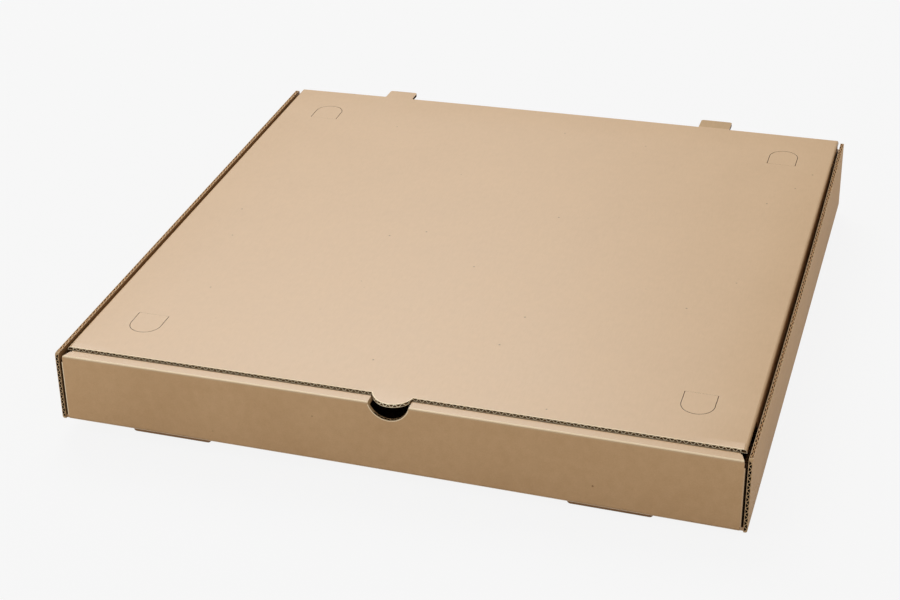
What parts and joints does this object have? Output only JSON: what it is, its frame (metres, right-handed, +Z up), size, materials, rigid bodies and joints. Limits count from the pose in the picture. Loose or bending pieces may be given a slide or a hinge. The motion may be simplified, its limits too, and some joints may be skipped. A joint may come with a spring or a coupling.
{
  "type": "pizza box",
  "caption": "Flat square take-away pizza box of brown corrugated board: folded tray with a locked roll-over front wall, and a hinged lid with push-in vent flaps.",
  "frame": {"origin": "middle of the whole footprint, rear tabs included, on the surface that the box stands on", "axes": "+X to the right seen from the front, +Y from the front wall to the lid's hinge, +Z up"},
  "size_m": [0.33, 0.3416, 0.0405],
  "materials": {
    "kraft_board": "matt brown kraft liner"
  },
  "bodies": {
    "tray": {"tray": "kraft_board"},
    "lid": {"lid": "kraft_board"},
    "vent_front_left": {"vent_flap_front_left": "kraft_board"},
    "vent_front_right": {"vent_flap_front_right": "kraft_board"},
    "vent_rear_left": {"vent_flap_rear_left": "kraft_board"},
    "vent_rear_right": {"vent_flap_rear_right": "kraft_board"}
  },
  "joints": [
    {"name": "lid_hinge", "type": "hinge", "parent": "tray", "child": "lid", "pos_m": [0, 0.16075, 0.0387], "axis": [-1, 0, 0], "range_deg": [0, 180]},
    {"name": "vent_front_left_crease", "type": "hinge", "parent": "lid", "child": "vent_front_left", "pos_m": [-0.1347, -0.12375, 0.0387], "axis": [1, 0, 0], "range_deg": [0, 80]},
    {"name": "vent_front_right_crease", "type": "hinge", "parent": "lid", "child": "vent_front_right", "pos_m": [0.1347, -0.12375, 0.0387], "axis": [1, 0, 0], "range_deg": [0, 80]},
    {"name": "vent_rear_left_crease", "type": "hinge", "parent": "lid", "child": "vent_rear_left", "pos_m": [-0.1347, 0.12175, 0.0387], "axis": [-1, 0, 0], "range_deg": [0, 80]},
    {"name": "vent_rear_right_crease", "type": "hinge", "parent": "lid", "child": "vent_rear_right", "pos_m": [0.1347, 0.12175, 0.0387], "axis": [-1, 0, 0], "range_deg": [0, 80]}
  ]
}
